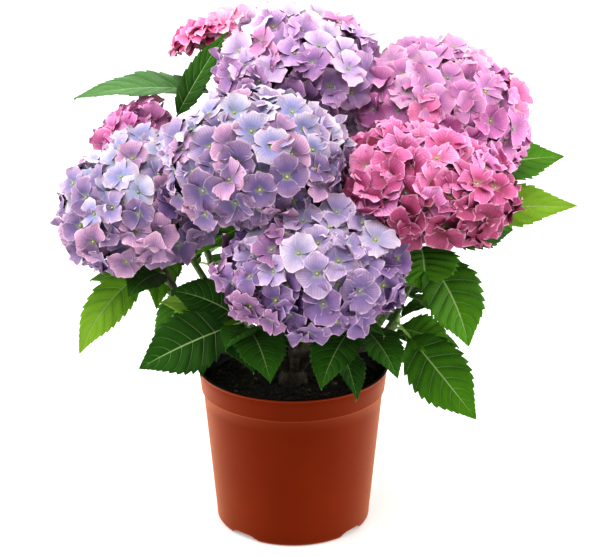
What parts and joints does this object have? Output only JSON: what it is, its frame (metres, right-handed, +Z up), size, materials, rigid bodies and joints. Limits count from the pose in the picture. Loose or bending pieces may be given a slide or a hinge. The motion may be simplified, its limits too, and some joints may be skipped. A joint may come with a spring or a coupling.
{
  "type": "potted hydrangea",
  "caption": "Potted hydrangea shrub: domed flower heads over toothed leaves on branching canes, rooted in compost in a round tapered plastic pot.",
  "frame": {"origin": "middle of the pot's flat underside, where it stands", "axes": "+Z up along the pot's axis, -Y towards the front, +X to the right seen from the front"},
  "size_m": [0.5069, 0.4815, 0.5134],
  "materials": {
    "pot_plastic": "thin moulded terracotta-coloured plastic, satin outside and black inside",
    "compost": "dark moist peat compost, crumbly",
    "bark": "grey-brown fissured bark, matte",
    "stem": "green young stem, semi-matte",
    "foliage": "deep green leaf with paler veins, slightly glossy",
    "petals_blue": "soft matte lavender-blue petals with pinker rims",
    "petals_lilac": "soft matte pale lilac petals",
    "petals_mauve": "soft matte mauve-pink petals",
    "petals_pink": "soft matte hot pink petals",
    "petals_violet": "soft matte violet petals",
    "petals_coral": "soft matte coral-pink petals, greenish where young"
  },
  "bodies": {
    "root": {"pot": "pot_plastic", "root_ball": "compost", "crown_base": "bark", "cane_front": "bark", "cane_left": "bark", "cane_right": "bark", "cane_middle": "bark", "cane_rear": "bark", "cane_rear_left": "bark", "leafy_shoot_low_violet": "foliage", "leafy_shoot_front_blue": "foliage", "leafy_shoot_left_blue": "foliage", "leafy_shoot_right_pink": "foliage", "leafy_shoot_right_lilac": "foliage", "leafy_shoot_top_lilac": "foliage", "leafy_shoot_left_magenta": "foliage", "leafy_shoot_back_coral": "foliage", "leafy_shoot_rear_lilac": "foliage", "leafy_shoot_rear_pink": "foliage", "leafy_shoot_rear_blue": "foliage", "leafy_shoot_rear_violet": "foliage", "leafy_shoot_low_left": "foliage", "leafy_shoot_low_right": "foliage", "leafy_shoot_side_right": "foliage", "leafy_shoot_side_rear_right": "foliage", "leafy_shoot_side_left": "foliage", "leafy_shoot_low_rear": "foliage", "leafy_shoot_low_rear_left": "foliage", "flower_head_low_violet": "petals_violet", "flower_head_front_blue": "petals_blue", "flower_head_left_blue": "petals_blue", "flower_head_right_pink": "petals_pink", "flower_head_right_lilac": "petals_mauve", "flower_head_top_lilac": "petals_lilac", "flower_head_left_magenta": "petals_mauve", "flower_head_back_coral": "petals_coral", "flower_head_rear_lilac": "petals_lilac", "flower_head_rear_pink": "petals_mauve", "flower_head_rear_blue": "petals_blue", "flower_head_rear_violet": "petals_violet"}
  },
  "joints": []
}
